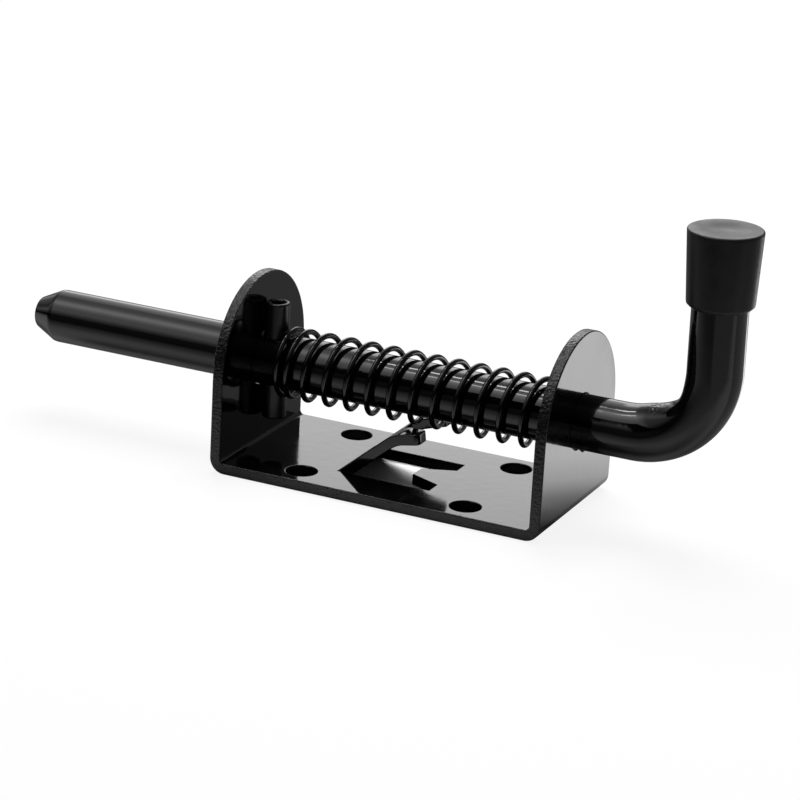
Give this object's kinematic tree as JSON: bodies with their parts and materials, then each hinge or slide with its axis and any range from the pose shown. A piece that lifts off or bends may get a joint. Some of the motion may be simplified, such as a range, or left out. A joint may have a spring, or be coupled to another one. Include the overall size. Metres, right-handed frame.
{
  "type": "spring latch bolt",
  "caption": "Spring-loaded latch bolt on a folded steel bracket: bent bar handle with rubber cap, cross pin, compression spring and a forked catch tongue.",
  "frame": {"origin": "centre of the four mounting holes, on the underside of the bracket", "axes": "+X along the bolt towards the handle (the nose points to -X), +Y across the plate, +Z away from the surface the bracket is screwed to"},
  "size_m": [0.1732, 0.04, 0.0705],
  "materials": {
    "bracket_enamel": "gloss black enamel",
    "bolt_enamel": "gloss black enamel",
    "pin_finish": "satin black",
    "spring_finish": "gloss black",
    "cap_rubber": "matte"
  },
  "bodies": {
    "bracket": {"mounting_bracket": "bracket_enamel"},
    "spring": {"compression_spring": "spring_finish"},
    "bolt": {"bolt": "bolt_enamel", "cross_pin": "pin_finish", "rubber_cap": "cap_rubber"}
  },
  "joints": [
    {"name": "bolt_turn", "type": "hinge", "parent": "bracket", "child": "spring", "pos_m": [0, 0, 0.022], "axis": [1, 0, 0], "range_deg": [-100, 100]},
    {"name": "bolt_slide", "type": "slide", "parent": "spring", "child": "bolt", "axis": [1, 0, 0], "range_m": [0, 0.025], "stiffness_N_per_m": 620, "springref_m": -0.012, "deforming": ["compression_spring"]}
  ]
}
